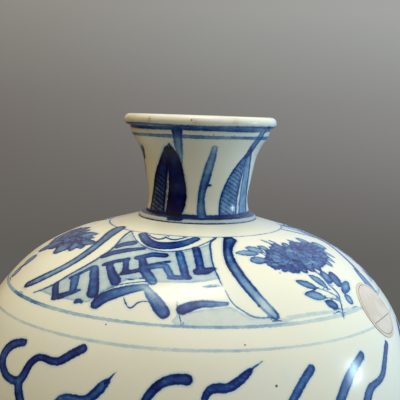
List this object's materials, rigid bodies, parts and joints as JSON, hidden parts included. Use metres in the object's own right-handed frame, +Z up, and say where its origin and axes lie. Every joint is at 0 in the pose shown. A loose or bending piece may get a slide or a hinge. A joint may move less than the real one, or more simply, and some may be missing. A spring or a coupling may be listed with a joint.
{
  "type": "meiping vase",
  "caption": "Tall high-shouldered porcelain vase with a flared narrow neck, rolled rim, tapering body and carved foot ring, painted in underglaze blue.",
  "frame": {"origin": "middle of the foot ring, on the surface the vase stands on", "axes": "+Z up the vase's axis, -Y towards the viewer of the picture, +X to their right"},
  "size_m": [0.175, 0.175, 0.3],
  "materials": {
    "glazed_wall": "glossy pale celadon-white glaze over underglaze cobalt painting",
    "slip": "fired slip, smoothed by hand",
    "glaze_bead": "slip bead under pooled glaze, very glossy",
    "label_paper": "matt cream paper, a little yellowed"
  },
  "bodies": {
    "root": {"base_disc": "glazed_wall", "lower_body": "glazed_wall", "belly": "glazed_wall", "shoulder": "glazed_wall", "neck": "glazed_wall", "slip_seam_base": "slip", "slip_seam_lower": "slip", "slip_seam_upper": "slip", "slip_seam_neck": "glaze_bead", "paper_label": "label_paper"}
  },
  "joints": []
}
